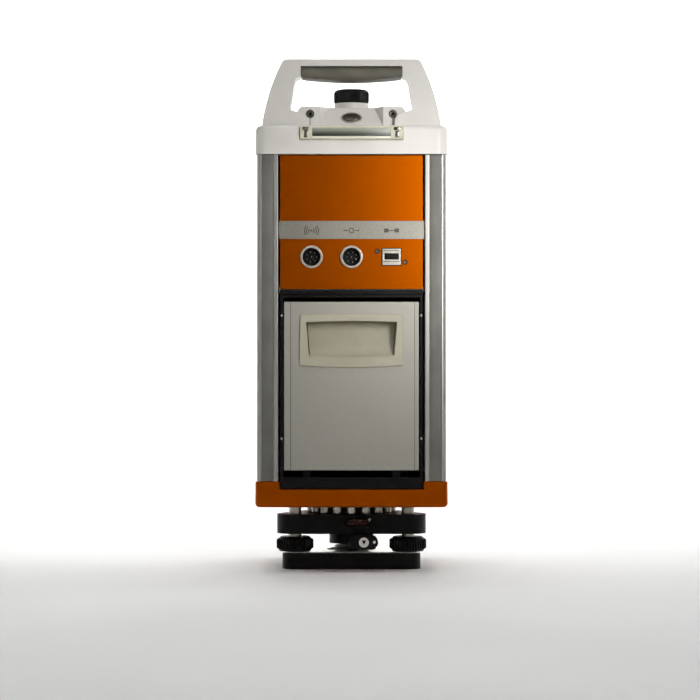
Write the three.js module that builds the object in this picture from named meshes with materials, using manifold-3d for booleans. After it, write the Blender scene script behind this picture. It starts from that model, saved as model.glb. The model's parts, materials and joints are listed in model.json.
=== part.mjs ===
// Terrestrial laser scanner on its tribrach, in millimetres, +Z up. The scanner's vertical axis is Z,
// the operator's side with the battery and sockets faces -Y, and the scanning mirror looks out of a slot
// in the +Y half. The underside of the tribrach's base plate is Z = 0.
import * as THREE from "three";
import { mergeVertices } from "three/addons/utils/BufferGeometryUtils.js";
import { ConvexGeometry } from "three/addons/geometries/ConvexGeometry.js";
import Module from "manifold-3d";

// ---- driving dimensions -------------------------------------------------------------------------
const GAP = 0.3; // air left between two pieces that touch
const ROUND = 36; // facets of a turned piece
const SMALL_ROUND = 20; // facets of a small turned piece

// Tribrach
const SCREW_CIRCLE = 67; // radius of the circle through the three foot screws
const BASE_PLATE_CORNER = 13;
const BASE_PLATE_TOP = 16;
const TRIPOD_HOLE = 8; // radius of the 5/8 inch tripod screw's hole
const SPRING_PLATE_TOP = 17.3;
const KNOB_RADIUS = 19;
const KNOB_BOTTOM = 18;
const KNOB_TOP = 33;
const SPINDLE_RADIUS = 6.5;
const SPINDLE_BOTTOM = 11.3;
const SPINDLE_TOP = 63;
const TRIBRACH_CORNER = 18.5;
const TRIBRACH_BOTTOM = 36.5;
const TRIBRACH_TOP = 56.3;
const PLUG_RADIUS = 34; // the head's adapter plugs into the body this wide
const PLUG_BOTTOM = 50.6;
const LOCK_X = 12.6;
const LOCK_Z = 29;
const LEVEL_X = 6;
const LEVEL_Y = -64;

// Scanner head
const HALF_X = 96.5;
const HALF_Y = 107;
const TRAY_BOTTOM = 67;
const TRAY_TOP = 93;
const NOTCH_Z = 85; // the tray's ends are lower between the posts
const NOTCH_X = 72;
const HUB_RADIUS = 30; // turntable hub that carries the head
const POST_OUT = 95;
const POST_IN = 73.5;
const POST_DEPTH = 25;
const COVER_BOTTOM = 420;
const COVER_TOP = 449;
const COVER_HALF_X = 96.2;
const COVER_HALF_Y = 109;
const PANEL_X = 71.3;
const PANEL_Y = 103; // outer face of the recessed end panels
const PANEL_SPLIT = 285; // battery bay below, socket panel above
const SOCKET_Z = 317.6;
const SOCKET_STEP = 40;

// Battery
const BATTERY_X = 67.5;
const BATTERY_LOW = 104;
const BATTERY_HIGH = 272.8;
const BATTERY_DEPTH = 88;
const BAY_X = 68.5;
const BAY_LOW = 97;
const BAY_HIGH = 277;
const BAY_BACK = -8;

// Mirror slot
const MIRROR_Y = 62;
const MIRROR_Z = 385;
const MIRROR_RADIUS = 24;
const SLOT_X = 33;
const SLOT_BACK = 18;

// Handle, console and antenna mount
const ARCH_REAR = -58;
const ARCH_FRONT = -26;
const ARCH_TOP = 521;
const CONSOLE_X = 55.5;
const CONSOLE_REAR = -50;
const CONSOLE_FRONT = 17;
const CONSOLE_TOP = 473.7;
const MOUNT_RADIUS = 18;
const MOUNT_TOP = 481;
const CAP_TOP = 495.3;
const CONSOLE_SCREW_X = 42.3;
const CONSOLE_SCREW_Z = 465.8;
const LENS_X = 51.3;
const LENS_SCREW_X = 45.5;
const LENS_SCREW_Y = -106;
const GRIP_X = 51.6;
const GRIP_TOP = 513.6;

// ---- materials ----------------------------------------------------------------------------------
const material = (color, roughness, metalness, more = {}) =>
  new THREE.MeshStandardMaterial({ color, roughness, metalness, ...more });
const MATERIALS = {
  coverPlastic: material(0xcbc7c1, 0.45, 0),
  orangeAnodised: material(0xb4520a, 0.35, 0.7),
  aluminium: material(0xb9b8b2, 0.35, 0.8),
  brushedPanel: material(0x9c998f, 0.45, 0.6),
  beigePlastic: material(0xb6b09c, 0.5, 0),
  gripRubber: material(0x75705f, 0.75, 0),
  blackPaint: material(0x141210, 0.5, 0.2),
  blackPlastic: material(0x1a1817, 0.6, 0),
  steel: material(0x8f8c86, 0.3, 0.9),
  clearPlastic: material(0xd8dccb, 0.1, 0, { transparent: true, opacity: 0.4 }),
  lightGuide: material(0x78806f, 0.3, 0),
  whiteMark: material(0xe6e4de, 0.5, 0),
  mirrorGlass: material(0xdfe6ea, 0.03, 1),
  levelRim: material(0x8c2016, 0.4, 0.2),
  levelGlass: material(0xc9d68a, 0.1, 0, { transparent: true, opacity: 0.5 }),
  circuitBoard: material(0x1c4a2c, 0.6, 0),
};

// ---- solid modelling ----------------------------------------------------------------------------
const wasm = await Module();
wasm.setup();

function toSolid(geometry) {
  const bare = geometry.clone();
  bare.deleteAttribute("normal");
  bare.deleteAttribute("uv");
  const merged = mergeVertices(bare, 1e-3);
  const triVerts = new Uint32Array(merged.index.array);
  return new wasm.Manifold(
    new wasm.Mesh({ numProp: 3, vertProperties: merged.attributes.position.array, triVerts }),
  );
}

function toGeometry(solid) {
  const mesh = solid.getMesh();
  const positions = new Float32Array(mesh.vertProperties);
  const geometry = new THREE.BufferGeometry();
  geometry.setAttribute("position", new THREE.BufferAttribute(positions, 3));
  geometry.setIndex(new THREE.BufferAttribute(new Uint32Array(mesh.triVerts), 1));
  geometry.computeVertexNormals();
  return geometry;
}

const join = (...pieces) => toGeometry(pieces.map(toSolid).reduce((a, b) => a.add(b)));
const cut = (base, ...tools) => toGeometry([base, ...tools].map(toSolid).reduce((a, b) => a.subtract(b)));
const meet = (a, b) => toGeometry(toSolid(a).intersect(toSolid(b)));

// ---- shapes placed in the part's frame ----------------------------------------------------------
const box = (x0, x1, y0, y1, z0, z1) =>
  new THREE.BoxGeometry(x1 - x0, y1 - y0, z1 - z0).translate((x0 + x1) / 2, (y0 + y1) / 2, (z0 + z1) / 2);

const extrude = (shape, depth, curveSegments) =>
  new THREE.ExtrudeGeometry(shape, { depth, bevelEnabled: false, curveSegments, steps: 1 });

// A shape drawn in X and Y, between two heights.
const prismZ = (shape, z0, z1, curveSegments = 6) =>
  extrude(shape, z1 - z0, curveSegments).translate(0, 0, z0);

// A shape drawn in X and Z, between two Y planes.
const prismY = (shape, y0, y1, curveSegments = 8) =>
  extrude(shape, y1 - y0, curveSegments).rotateX(Math.PI / 2).translate(0, y1, 0);

// A shape drawn in Y and Z, between two X planes.
const Y_Z_TO_X = new THREE.Matrix4().set(0, 0, 1, 0, 1, 0, 0, 0, 0, 1, 0, 0, 0, 0, 0, 1);
const prismX = (shape, x0, x1, curveSegments = 8) =>
  extrude(shape, x1 - x0, curveSegments).applyMatrix4(Y_Z_TO_X).translate(x0, 0, 0);

const polygon = (points) => new THREE.Shape(points.map(([a, b]) => new THREE.Vector2(a, b)));

function roundedRect(x0, x1, y0, y1, radius) {
  const shape = new THREE.Shape();
  shape.absarc(x1 - radius, y0 + radius, radius, -Math.PI / 2, 0);
  shape.absarc(x1 - radius, y1 - radius, radius, 0, Math.PI / 2);
  shape.absarc(x0 + radius, y1 - radius, radius, Math.PI / 2, Math.PI);
  shape.absarc(x0 + radius, y0 + radius, radius, Math.PI, 1.5 * Math.PI);
  shape.closePath();
  return shape;
}

// Profile points are [radius, height]; a profile that leaves the axis closes on itself.
function turned(profile, segments) {
  const area = profile.reduce((sum, [r, h], i) => {
    const [r2, h2] = profile[(i + 1) % profile.length];
    return sum + r * h2 - r2 * h;
  }, 0);
  const points = (area < 0 ? [...profile].reverse() : profile).map(([r, h]) => new THREE.Vector2(r, h));
  if (!(points[0].x === 0 && points.at(-1).x === 0)) points.push(points[0].clone());
  return new THREE.LatheGeometry(points, segments);
}
const turnedY = (profile, x, z, segments = SMALL_ROUND) => turned(profile, segments).translate(x, 0, z);
const turnedZ = (profile, x = 0, y = 0, segments = ROUND) =>
  turned(profile, segments).rotateX(Math.PI / 2).translate(x, y, 0);
const turnedX = (profile, y, z, segments = ROUND) =>
  turned(profile, segments).rotateZ(-Math.PI / 2).translate(0, y, z);

// A block with rounded upright corners and, at its far end from flatZ, a rounded edge all the way round.
function softBlock(halfX, halfY, flatZ, roundZ, corner, edge) {
  const steps = 4;
  const rise = Math.sign(roundZ - flatZ) * edge;
  const rounding = Array.from({ length: steps + 1 }, (_, i) => (i / steps) * (Math.PI / 2));
  const levels = [
    { inset: 0, z: flatZ },
    ...rounding.map((a) => ({ inset: edge * (1 - Math.cos(a)), z: roundZ - rise * (1 - Math.sin(a)) })),
  ];
  const points = levels.flatMap(({ inset, z }) => {
    const [x, y] = [halfX - inset, halfY - inset];
    return roundedRect(-x, x, -y, y, corner - inset).getPoints(5).map((p) => new THREE.Vector3(p.x, p.y, z));
  });
  return new ConvexGeometry(points);
}

// Cylinders by radius and the two ends along their axis.
const rod = (radius, low, high) => [[0, low], [radius, low], [radius, high], [0, high]];
const tube = (inner, outer, low, high) => [[inner, low], [outer, low], [outer, high], [inner, high]];

// ---- the assembly -------------------------------------------------------------------------------
const scanner = new THREE.Group();

function add(name, geometry, finish) {
  const mesh = new THREE.Mesh(geometry, MATERIALS[finish]);
  mesh.name = name;
  scanner.add(mesh);
}

// ---- tribrach -----------------------------------------------------------------------------------
const SCREWS = [
  { side: "left", angle: (7 / 6) * Math.PI },
  { side: "right", angle: (11 / 6) * Math.PI },
  { side: "front", angle: Math.PI / 2 },
].map(({ side, angle }) => ({
  side,
  angle,
  x: SCREW_CIRCLE * Math.cos(angle),
  y: SCREW_CIRCLE * Math.sin(angle),
}));

function roundedTriangle(cornerRadius) {
  const shape = new THREE.Shape();
  for (const { x, y, angle } of [SCREWS[2], SCREWS[0], SCREWS[1]])
    shape.absarc(x, y, cornerRadius, angle - Math.PI / 3, angle + Math.PI / 3);
  shape.closePath();
  return shape;
}

function tribrachLowerPlates() {
  const seats = SCREWS.map(({ x, y }) => turnedZ(rod(SPINDLE_RADIUS + 0.4, 11, 20), x, y, SMALL_ROUND));
  const plate = prismZ(roundedTriangle(BASE_PLATE_CORNER), 0, BASE_PLATE_TOP);
  const hole = turnedZ(rod(TRIPOD_HOLE, -1, 20), 0, 0, SMALL_ROUND);
  add("tribrach_base_plate", cut(plate, hole, ...seats), "blackPaint");

  const leaf = prismZ(roundedTriangle(9), BASE_PLATE_TOP + GAP, SPRING_PLATE_TOP, 5);
  const window = turnedZ(rod(26, 10, 20), 0, 0, SMALL_ROUND);
  add("tribrach_spring_plate", cut(leaf, window, ...seats), "steel");
}

function tribrachBody() {
  const body = join(
    prismZ(roundedTriangle(TRIBRACH_CORNER), TRIBRACH_BOTTOM, TRIBRACH_TOP),
    turnedZ(rod(23, 24, TRIBRACH_BOTTOM + 1)),
    box(LOCK_X - 9, LOCK_X + 9, -50, -10, 21.5, TRIBRACH_BOTTOM + 1),
    turnedZ(rod(12.5, 44.2, 46.5), LEVEL_X, LEVEL_Y, SMALL_ROUND),
  );
  const bores = SCREWS.map(({ x, y }) => turnedZ(rod(SPINDLE_RADIUS + GAP, 30, 60), x, y, SMALL_ROUND));
  const recess = turnedZ(rod(PLUG_RADIUS + GAP, PLUG_BOTTOM - GAP, 60));
  const sightHole = turnedZ(rod(10, 20, 60), 0, 0, SMALL_ROUND);
  const lockBore = turnedY(rod(4.4, -60, -22), LOCK_X, LOCK_Z);
  add("tribrach_body", cut(body, recess, sightHole, lockBore, ...bores), "blackPaint");

  const cup = [[0, 46.8], [11, 46.8], [11, 51.3], [8.6, 51.3], [8.6, 47.8], [0, 47.8]];
  add("level_cup", turnedZ(cup, LEVEL_X, LEVEL_Y, SMALL_ROUND), "levelRim");
  const vial = [[0, 48.1], [8.3, 48.1], [8.3, 51.6], [5, 52.4], [0, 52.6]];
  add("level_vial", turnedZ(vial, LEVEL_X, LEVEL_Y, SMALL_ROUND), "levelGlass");
}

function footScrews() {
  const knob = tube(SPINDLE_RADIUS + GAP, KNOB_RADIUS, KNOB_BOTTOM, KNOB_TOP);
  const spindle = rod(SPINDLE_RADIUS, SPINDLE_BOTTOM, SPINDLE_TOP);
  for (const { side, x, y } of SCREWS) {
    add(`foot_screw_knob_${side}`, turnedZ(knob, x, y), "blackPlastic");
    add(`foot_screw_spindle_${side}`, turnedZ(spindle, x, y, SMALL_ROUND), "steel");
  }
}

function lockKnob() {
  const [halfWidth, end, rear, front] = [14.5, 7.2, -66, -55.5];
  const wing = prismY(roundedRect(-halfWidth, halfWidth, -end, end, end - 0.01), rear, front, 6);
  const shaft = turnedY(rod(4, front - 1, -24), 0, 0);
  add("lock_knob", join(wing, shaft).translate(LOCK_X, 0, LOCK_Z), "blackPlastic");
  add("lock_knob_mark", turnedY(rod(5.1, rear - GAP - 0.6, rear - GAP), LOCK_X, LOCK_Z), "whiteMark");
}

// ---- turntable ----------------------------------------------------------------------------------
function turntable() {
  const [bore, flange, flangeTop, hubTop] = [10, 38, TRAY_BOTTOM - 0.5, 84];
  const adapter = [
    [bore, PLUG_BOTTOM], [PLUG_RADIUS, PLUG_BOTTOM], [PLUG_RADIUS, TRIBRACH_TOP + GAP],
    [flange, TRIBRACH_TOP + GAP], [flange, flangeTop], [HUB_RADIUS, flangeTop], [HUB_RADIUS, hubTop],
    [bore, hubTop],
  ];
  add("adapter_plate", turnedZ(adapter), "steel");
  add("azimuth_bearing", turnedZ(tube(HUB_RADIUS + GAP, 36, 67.3, 73)), "steel");
  add("azimuth_stator", turnedZ(tube(HUB_RADIUS + GAP, 42, 73.5, 83.5)), "steel");
  add("azimuth_rotor", turnedZ(tube(43, 50, 73.5, 83.5)), "steel");
}

// ---- chassis and casing -------------------------------------------------------------------------
function baseTray() {
  const outer = softBlock(HALF_X, HALF_Y, TRAY_TOP, TRAY_BOTTOM, 7, 4);
  const pocket = prismZ(roundedRect(-92, 92, -102.5, 102.5, 4), TRAY_BOTTOM + 6, 100, 4);
  const notch = box(-NOTCH_X, NOTCH_X, -120, 120, NOTCH_Z, 100);
  const hubHole = turnedZ(rod(36.6, 60, 80));
  add("base_tray", cut(outer, pocket, notch, hubHole), "orangeAnodised");
}

// One corner post: an extruded section with a shallow flute down its end face.
function postSection(sideX, sideY) {
  const out = HALF_Y;
  const groove = { inner: 78, outer: 90, depth: 1.5 };
  const radius = 5;
  const corner = [0, 1, 2, 3, 4].map((i) => {
    const angle = (i / 4) * (Math.PI / 2);
    return [POST_OUT - radius + radius * Math.cos(angle), out - radius + radius * Math.sin(angle)];
  });
  const points = [
    [POST_IN, out - POST_DEPTH], [POST_OUT, out - POST_DEPTH], ...corner,
    [groove.outer, out], [groove.outer, out - groove.depth],
    [groove.inner, out - groove.depth], [groove.inner, out], [POST_IN, out],
  ];
  return polygon(points.map(([x, y]) => [sideX * x, sideY * y]));
}

function posts() {
  for (const [end, sideY] of [["rear", -1], ["front", 1]])
    for (const [side, sideX] of [["left", -1], ["right", 1]])
      add(
        `corner_post_${end}_${side}`,
        prismZ(postSection(sideX, sideY), TRAY_TOP + GAP, COVER_BOTTOM - GAP),
        "aluminium",
      );
}

function sideCovers() {
  const [inner, outer, halfY] = [91.8, 94.3, HALF_Y - POST_DEPTH - GAP];
  const slot = { count: 6, pitch: 9, height: 4, halfLength: 30, lowest: 118, y: 38 };
  for (const [side, sign] of [["left", -1], ["right", 1]]) {
    const [x0, x1] = [sign * inner, sign * outer].sort((a, b) => a - b);
    const vents = Array.from({ length: slot.count }, (_, i) => {
      const z = slot.lowest + i * slot.pitch;
      return box(x0 - 1, x1 + 1, slot.y - slot.halfLength, slot.y + slot.halfLength, z, z + slot.height);
    });
    const sheet = box(x0, x1, -halfY, halfY, TRAY_TOP + GAP, COVER_BOTTOM - GAP);
    add(`side_cover_${side}`, cut(sheet, ...vents), "coverPlastic");
  }
}

function rearPanel() {
  const sheet = box(-PANEL_X, PANEL_X, -PANEL_Y, -PANEL_Y + 3, PANEL_SPLIT + GAP, COVER_BOTTOM - 2 * GAP);
  const rounds = [-SOCKET_STEP, 0].map((x) => turnedY(rod(9.8, -110, -95), x, SOCKET_Z));
  const usbHole = box(SOCKET_STEP - 9.5, SOCKET_STEP + 9.5, -110, -95, SOCKET_Z - 8.5, SOCKET_Z + 8.5);
  add("connector_panel", cut(sheet, ...rounds, usbHole), "orangeAnodised");
  add("label_strip", box(-72.8, 72.8, -PANEL_Y - 0.8, -PANEL_Y - GAP, 335.5, 353.5), "aluminium");

  const ring = [
    [9.05, -105.6], [11, -105.6], [11.5, -105], [11.5, -103.3], [9.5, -103.3], [9.5, -88], [9.05, -88],
  ];
  for (const [place, x] of [["left", -SOCKET_STEP], ["middle", 0]]) {
    add(`socket_ring_${place}`, turnedY(ring, x, SOCKET_Z, 32), "steel");
    add(`socket_insert_${place}`, turnedY(rod(8.7, -98, -88), x, SOCKET_Z), "blackPlastic");
  }
  const shell = box(SOCKET_STEP - 9.15, SOCKET_STEP + 9.15, -104.6, -90, SOCKET_Z - 8.15, SOCKET_Z + 8.15);
  const mouth = box(SOCKET_STEP - 7.1, SOCKET_STEP + 7.1, -110, -92.5, SOCKET_Z - 2.6, SOCKET_Z + 3.4);
  add("usb_socket", cut(shell, mouth), "steel");
}

function batteryBay() {
  const flange = box(-PANEL_X, PANEL_X, -PANEL_Y, -PANEL_Y + 2, NOTCH_Z + GAP, PANEL_SPLIT - GAP);
  const lip = box(-PANEL_X, PANEL_X, -PANEL_Y - 2, -PANEL_Y + 1, 280, PANEL_SPLIT - GAP);
  const sleeve = box(-BAY_X - 2, BAY_X + 2, -PANEL_Y + 1, BAY_BACK, BAY_LOW - 2, BAY_HIGH + 2);
  const hollow = box(-BAY_X, BAY_X, -120, BAY_BACK - 2, BAY_LOW, BAY_HIGH);
  const rails = [-1, 1].map((side) =>
    box(side * 45 - 4, side * 45 + 4, -98, BAY_BACK - 1, BAY_LOW - 1, BATTERY_LOW - GAP),
  );
  add("battery_bay", join(cut(join(flange, lip, sleeve), hollow), ...rails), "blackPaint");
}

function frontPanels() {
  const lower = box(-PANEL_X, PANEL_X, PANEL_Y - 3, PANEL_Y, NOTCH_Z + GAP, PANEL_SPLIT - GAP);
  const slot = { count: 13, pitch: 8, halfWidth: 1.75, low: 108, high: 150 };
  const vents = Array.from({ length: slot.count }, (_, i) => {
    const x = (i - (slot.count - 1) / 2) * slot.pitch;
    return box(x - slot.halfWidth, x + slot.halfWidth, 90, 110, slot.low, slot.high);
  });
  add("front_panel", cut(lower, ...vents), "brushedPanel");
  const inner = SLOT_X + 2 + GAP;
  for (const [side, sign] of [["left", -1], ["right", 1]]) {
    const [x0, x1] = [sign * inner, sign * PANEL_X].sort((a, b) => a - b);
    const sheet = box(x0, x1, PANEL_Y - 3, PANEL_Y, PANEL_SPLIT + GAP, COVER_BOTTOM - 2 * GAP);
    add(`arm_front_${side}`, sheet, "orangeAnodised");
  }
}

// The slot's lining: two cheeks, a back wall, and a floor that falls away so that the beam can look down.
function mirrorBay() {
  const top = COVER_TOP - 3 - GAP;
  const outer = polygon([[SLOT_BACK - 2, top], [SLOT_BACK - 2, 343], [48, 343], [103, 288], [103, top]]);
  const inner = polygon([[SLOT_BACK, 460], [SLOT_BACK, 346], [49.2, 346], [106, 289.2], [106, 460]]);
  const windowHole = turnedX(rod(25.4, -40, 0), MIRROR_Y, MIRROR_Z);
  const shaftHole = turnedX(rod(9, 0, 40), MIRROR_Y, MIRROR_Z, SMALL_ROUND);
  const walls = cut(prismX(outer, -SLOT_X - 2, SLOT_X + 2), prismX(inner, -SLOT_X, SLOT_X));
  add("mirror_bay", cut(walls, windowHole, shaftHole), "blackPaint");
  add("scan_window", turnedX(rod(25, -36, -33.2), MIRROR_Y, MIRROR_Z), "mirrorGlass");
}

function topCover() {
  const skin = 3;
  const shell = softBlock(COVER_HALF_X, COVER_HALF_Y, COVER_BOTTOM, COVER_TOP, 11, 5);
  const [insideX, insideY] = [COVER_HALF_X - skin, COVER_HALF_Y - skin];
  const inside = roundedRect(-insideX, insideX, -insideY, insideY, 8);
  const pocket = prismZ(inside, COVER_BOTTOM - 1, COVER_TOP - skin, 4);
  const shelf = box(-54, 54, -106.5, -97, 431, COVER_TOP - skin + 0.5);
  const rebate = box(-LENS_X - GAP, LENS_X + GAP, -120, -100.2, 434, 460);
  const slot = box(-SLOT_X + 0.5, SLOT_X - 0.5, SLOT_BACK + 1.5, 120, COVER_BOTTOM - 5, 460);
  add("top_cover", cut(join(cut(shell, pocket), shelf), rebate, slot), "coverPlastic");
}

// ---- console, handle and fittings on the roof ---------------------------------------------------
const SLOPE = { lowY: -48, lowZ: 451, highY: -32, highZ: 475 }; // the scooped floor that carries the button
const SLOPE_ANGLE = Math.atan2(SLOPE.highZ - SLOPE.lowZ, SLOPE.highY - SLOPE.lowY);
const BUTTON = { halfWidth: 8.5, halfHeight: 5, y: -40.2, z: 462.7 };

// Places a piece that was made standing on Z = 0 on the scooped floor, at the button's centre.
const onSlope = (geometry) => geometry.rotateX(SLOPE_ANGLE).translate(0, BUTTON.y, BUTTON.z);

function ovalRing(grow, low, high) {
  const shape = new THREE.Shape();
  shape.absellipse(0, 0, BUTTON.halfWidth + grow, BUTTON.halfHeight + grow, 0, 2 * Math.PI);
  return prismZ(shape, low, high, 14);
}

function consoleBlock() {
  const radius = 7;
  const face = new THREE.Shape();
  face.moveTo(-CONSOLE_X, COVER_TOP + GAP);
  face.lineTo(CONSOLE_X, COVER_TOP + GAP);
  face.absarc(CONSOLE_X - radius, CONSOLE_TOP - radius, radius, 0, Math.PI / 2);
  face.absarc(-CONSOLE_X + radius, CONSOLE_TOP - radius, radius, Math.PI / 2, Math.PI);
  const block = prismY(face, CONSOLE_REAR, CONSOLE_FRONT, 5);
  const scoop = new ConvexGeometry(
    [-1, 1].flatMap((side) => [
      new THREE.Vector3(side * 33, CONSOLE_REAR - 1, SLOPE.lowZ),
      new THREE.Vector3(side * 33, CONSOLE_REAR - 1, SLOPE.highZ),
      new THREE.Vector3(side * 23, SLOPE.highY, SLOPE.highZ),
      new THREE.Vector3(side * 18.4, SLOPE.lowY, SLOPE.lowZ),
    ]),
  );
  const screwHoles = [-1, 1].map((side) => turnedY(rod(4.4, -60, -34), side * CONSOLE_SCREW_X, CONSOLE_SCREW_Z));
  const mountHole = turnedZ(rod(12.3, 452, 480), 0, 0, SMALL_ROUND);
  add("console", cut(block, scoop, ...screwHoles, mountHole, onSlope(ovalRing(2.3, -6, 3))), "coverPlastic");
}

function consoleScrews() {
  const socketHead = [
    [0, -44], [1.9, -44], [1.9, -48.4], [4, -48.4], [4, -43], [2.5, -43], [2.5, -34.5], [0, -34.5],
  ];
  for (const [side, sign] of [["left", -1], ["right", 1]])
    add(`console_screw_${side}`, turnedY(socketHead, sign * CONSOLE_SCREW_X, CONSOLE_SCREW_Z), "steel");
}

function powerButton() {
  add("button_ring", onSlope(cut(ovalRing(2, -5, 0.6), ovalRing(0.35, -6, 2))), "steel");
  add("power_button", onSlope(ovalRing(0, -3, 1.6)), "steel");
}

// The arch stands on two feet. Outer sides bow outwards; the opening under the bar is the hand's.
function handleArch() {
  const foot = COVER_TOP + GAP;
  const outline = new THREE.Shape();
  outline.moveTo(92, foot);
  outline.quadraticCurveTo(87, 487, 71, ARCH_TOP - 3);
  outline.quadraticCurveTo(69, ARCH_TOP, 65, ARCH_TOP);
  outline.lineTo(-65, ARCH_TOP);
  outline.quadraticCurveTo(-69, ARCH_TOP, -71, ARCH_TOP - 3);
  outline.quadraticCurveTo(-87, 487, -92, foot);
  outline.lineTo(-44, foot);
  outline.lineTo(-44.5, 460);
  outline.lineTo(-47, 464.8);
  outline.lineTo(-62.4, 469.6);
  outline.lineTo(-58, 497);
  outline.quadraticCurveTo(-57, 503.4, -50, 503.4);
  outline.lineTo(50, 503.4);
  outline.quadraticCurveTo(57, 503.4, 58, 497);
  outline.lineTo(62.4, 469.6);
  outline.lineTo(47, 464.8);
  outline.lineTo(44.5, 460);
  outline.lineTo(44, foot);
  const arch = prismY(outline, ARCH_REAR, ARCH_FRONT, 6);
  const roomX = CONSOLE_X + GAP;
  const consoleRoom = box(-roomX, roomX, CONSOLE_REAR - GAP, ARCH_FRONT + 1, 440, CONSOLE_TOP + GAP);
  const barRoom = box(-GRIP_X - GAP, GRIP_X + GAP, ARCH_REAR - 1, ARCH_FRONT + 1, 500, GRIP_TOP + GAP);
  const core = box(-GRIP_X - 1, GRIP_X + 1, ARCH_REAR + 7, ARCH_FRONT - 7, 506, GRIP_TOP + 1);
  add("handle_arch", join(cut(arch, consoleRoom, barRoom), core), "coverPlastic");
}

// The soft grip wraps the bar's core from below, with a belly under the fingers.
function handleGrip() {
  const belly = new THREE.Shape();
  belly.moveTo(-GRIP_X, GRIP_TOP);
  belly.lineTo(-GRIP_X, 504.5);
  belly.quadraticCurveTo(-GRIP_X, 502.6, -GRIP_X + 3, 502.4);
  belly.quadraticCurveTo(0, 496, GRIP_X - 3, 502.4);
  belly.quadraticCurveTo(GRIP_X, 502.6, GRIP_X, 504.5);
  belly.lineTo(GRIP_X, GRIP_TOP);
  const lengthways = prismY(belly, ARCH_REAR - 1, ARCH_FRONT + 1, 8);
  const section = prismX(roundedRect(ARCH_REAR - 0.5, ARCH_FRONT + 0.5, 499, GRIP_TOP, 6.5), -60, 60, 5);
  const sleeve = meet(lengthways, section);
  const core = box(-60, 60, ARCH_REAR + 6.7, ARCH_FRONT - 6.7, 505.7, 520);
  add("handle_grip", cut(sleeve, core), "gripRubber");
}

function antennaMount() {
  const stud = 7.9;
  const collar = [
    [0, 453], [12, 453], [12, CONSOLE_TOP + GAP], [MOUNT_RADIUS, CONSOLE_TOP + GAP],
    [MOUNT_RADIUS, MOUNT_TOP], [stud, MOUNT_TOP], [stud, 491], [0, 491],
  ];
  add("antenna_mount", turnedZ(collar), "coverPlastic");
  const cap = [
    [0, 492.5], [stud + 0.5, 492.5], [stud + 0.5, MOUNT_TOP + GAP], [MOUNT_RADIUS, MOUNT_TOP + GAP],
    [MOUNT_RADIUS, CAP_TOP - 2.2], [MOUNT_RADIUS - 2.2, CAP_TOP], [0, CAP_TOP],
  ];
  add("antenna_cap", turnedZ(cap), "blackPlastic");
}

function statusLight() {
  const profile = polygon([
    [-100.5, 434.3], [-110.2, 434.3], [-111.6, 436], [-112, 441], [-111.4, 446], [-109.5, 448.4],
    [-107, 448.8], [-100.5, 448.8],
  ]);
  const pocket = box(-39.8, 39.8, -107.8, -99, 437.2, 446.8);
  const screwWell = [[0, 435.5], [2, 435.5], [2, 444], [3.9, 444], [3.9, 452], [0, 452]];
  const wells = [-1, 1].map((side) => turnedZ(screwWell, side * LENS_SCREW_X, LENS_SCREW_Y, 16));
  add("light_lens", cut(prismX(profile, -LENS_X, LENS_X), pocket, ...wells), "clearPlastic");

  const trough = new THREE.Shape();
  trough.moveTo(-107.4, 437.6);
  trough.quadraticCurveTo(-102.6, 442, -107.4, 446.4);
  trough.lineTo(-100.6, 446.4);
  trough.lineTo(-100.6, 437.6);
  add("light_channel", prismX(trough, -39.4, 39.4, 6), "lightGuide");

  const screw = [[0, 436], [1.7, 436], [1.7, 444.3], [3.5, 444.3], [3.5, 447], [2.4, 448.2], [0, 448.4]];
  for (const [side, sign] of [["left", -1], ["right", 1]])
    add(`lens_screw_${side}`, turnedZ(screw, sign * LENS_SCREW_X, LENS_SCREW_Y, 16), "steel");
}

// ---- battery pack -------------------------------------------------------------------------------
function battery() {
  const [rear, front] = [-PANEL_Y, -PANEL_Y + BATTERY_DEPTH];
  const block = box(-BATTERY_X, BATTERY_X, rear, front, BATTERY_LOW, BATTERY_HIGH);
  const inside = box(-BATTERY_X + 2, BATTERY_X - 2, rear + 2.5, front + 1, BATTERY_LOW + 2, BATTERY_HIGH - 2);
  const gripHole = box(-48.3, 48.3, rear - 1, rear + 4, 215.7, 256.3);
  add("battery_case", cut(block, inside, gripHole), "brushedPanel");

  const frame = new THREE.Shape();
  frame.moveTo(-50, 209);
  frame.quadraticCurveTo(0, 205, 50, 209);
  frame.quadraticCurveTo(52, 209.2, 52, 211.5);
  frame.lineTo(51.4, 258);
  frame.quadraticCurveTo(51.2, 259.6, 49, 259.8);
  frame.quadraticCurveTo(0, 261.2, -49, 259.8);
  frame.quadraticCurveTo(-51.2, 259.6, -51.4, 258);
  frame.lineTo(-52, 211.5);
  frame.quadraticCurveTo(-52, 209.2, -50, 209);
  const bezel = prismY(frame, rear - 2.5, rear - GAP, 6);
  const bowl = box(-48, 48, rear - 1, rear + 22, 216, 256);
  const mouth = new THREE.Shape();
  mouth.moveTo(-42.5, 219.5);
  mouth.quadraticCurveTo(0, 216.6, 42.5, 219.5);
  mouth.lineTo(45.5, 252.3);
  mouth.quadraticCurveTo(0, 254.6, -45.5, 252.3);
  const hollow = prismY(mouth, rear - 4, rear + 19, 6);
  add("battery_grip", cut(join(bezel, bowl), hollow), "beigePlastic");

  const cells = box(-BATTERY_X + 3, BATTERY_X - 3, rear + 24, front - 1, BATTERY_LOW + 3, BATTERY_HIGH - 3);
  add("battery_cells", cells, "blackPlastic");
}

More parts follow.
